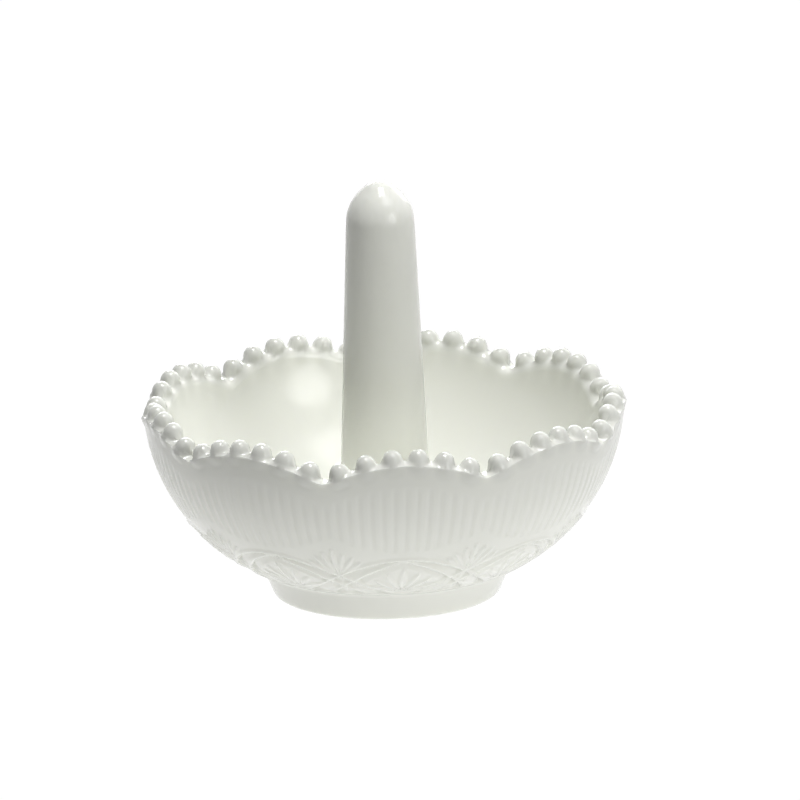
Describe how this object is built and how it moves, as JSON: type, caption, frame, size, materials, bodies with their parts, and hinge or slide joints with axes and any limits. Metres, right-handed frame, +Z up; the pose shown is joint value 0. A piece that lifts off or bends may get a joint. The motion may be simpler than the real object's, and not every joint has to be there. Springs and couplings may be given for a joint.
{
  "type": "ring dish",
  "caption": "Round footed glass dish with a scalloped, beaded rim, a reeded and arched pressed wall, and a tapered central post that finger rings drop over.",
  "frame": {"origin": "centre of the foot ring's underside, on the surface that the dish stands on", "axes": "+Z up along the axis of the bowl and post, -Y towards the middle of one scallop of the rim"},
  "size_m": [0.101, 0.1008, 0.0886],
  "materials": {
    "opal_glass": "gloss"
  },
  "bodies": {
    "root": {"bowl": "opal_glass", "foot_ring": "opal_glass", "ring_post": "opal_glass"}
  },
  "joints": []
}
